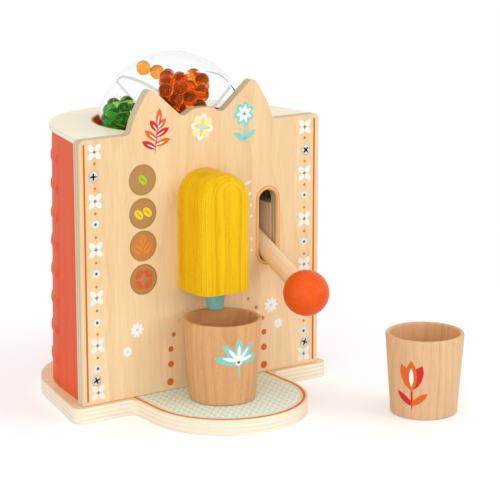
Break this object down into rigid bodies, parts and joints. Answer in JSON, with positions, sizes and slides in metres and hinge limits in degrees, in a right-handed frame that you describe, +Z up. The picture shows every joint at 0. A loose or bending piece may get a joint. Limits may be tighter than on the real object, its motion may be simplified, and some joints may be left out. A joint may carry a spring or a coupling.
{
  "type": "toy coffee maker",
  "caption": "Wooden play coffee maker with a pull lever, a turning clear ball of beads on top, a dispenser head with a nozzle, and tapered beakers.",
  "frame": {"origin": "on the underside of the base board, below the middle of the front panel's face", "axes": "+X to the right seen from the front, +Y back into the toy, +Z up"},
  "size_m": [0.2739, 0.2919, 0.2725],
  "materials": {
    "birch_ply": "clear matt varnish",
    "coral_paint": "matt paint",
    "inner_wood": "bare",
    "clear_plastic": "clear, polished",
    "orange_beads": "translucent, glossy",
    "green_beads": "translucent, glossy",
    "yellow_beads": "translucent, glossy",
    "red_beads": "translucent, glossy",
    "yellow_stain": "stained, satin varnish",
    "aqua_paint": "satin paint",
    "orange_stain": "stained, satin varnish",
    "beech": "clear matt varnish",
    "steel": "bright zinc"
  },
  "bodies": {
    "cabinet": {"base_board": "birch_ply", "front_panel": "birch_ply", "top_board": "birch_ply", "hole_collar": "coral_paint", "side_wall": "coral_paint", "left_batten": "inner_wood", "right_batten": "inner_wood", "ball_axle": "inner_wood", "axle_post": "inner_wood", "dispenser_head": "yellow_stain", "nozzle": "aqua_paint", "lever_pin": "steel", "lever_cheek_left": "inner_wood", "lever_cheek_right": "inner_wood", "panel_screw_left_low": "steel", "panel_screw_left_high": "steel", "panel_screw_right_low": "steel", "panel_screw_right_high": "steel", "base_screw_left_batten": "steel", "base_screw_right_batten": "steel", "base_screw_post_left": "steel", "base_screw_post_right": "steel", "head_screw_low": "steel", "head_screw_high": "steel"},
    "ball": {"ball_shell_front": "clear_plastic", "ball_shell_back": "clear_plastic", "ball_divider": "clear_plastic", "orange_bead_heap": "orange_beads", "green_bead_heap": "green_beads", "yellow_bead_heap": "yellow_beads", "red_bead_heap": "red_beads"},
    "lever": {"lever_arm": "beech", "lever_knob": "orange_stain"},
    "near_beaker": {"cup_near": "beech"},
    "far_beaker": {"cup_far": "beech"}
  },
  "joints": [
    {"name": "lever_swing", "type": "hinge", "parent": "cabinet", "child": "lever", "pos_m": [0.0611, 0.0475, 0.1342], "axis": [-1, 0, 0], "range_deg": [0, 46]},
    {"name": "ball_spin", "type": "hinge", "parent": "cabinet", "child": "ball", "pos_m": [0, 0.045, 0.214], "axis": [0, 1, 0], "continuous": true},
    {"name": "cup_near_slide", "type": "slide", "parent": "cabinet", "child": "near_beaker", "axis": [0, -1, 0], "range_m": [0, 0.12]},
    {"name": "cup_far_lift", "type": "slide", "parent": "cabinet", "child": "far_beaker", "axis": [0, 0, 1], "range_m": [0, 0.12]}
  ]
}
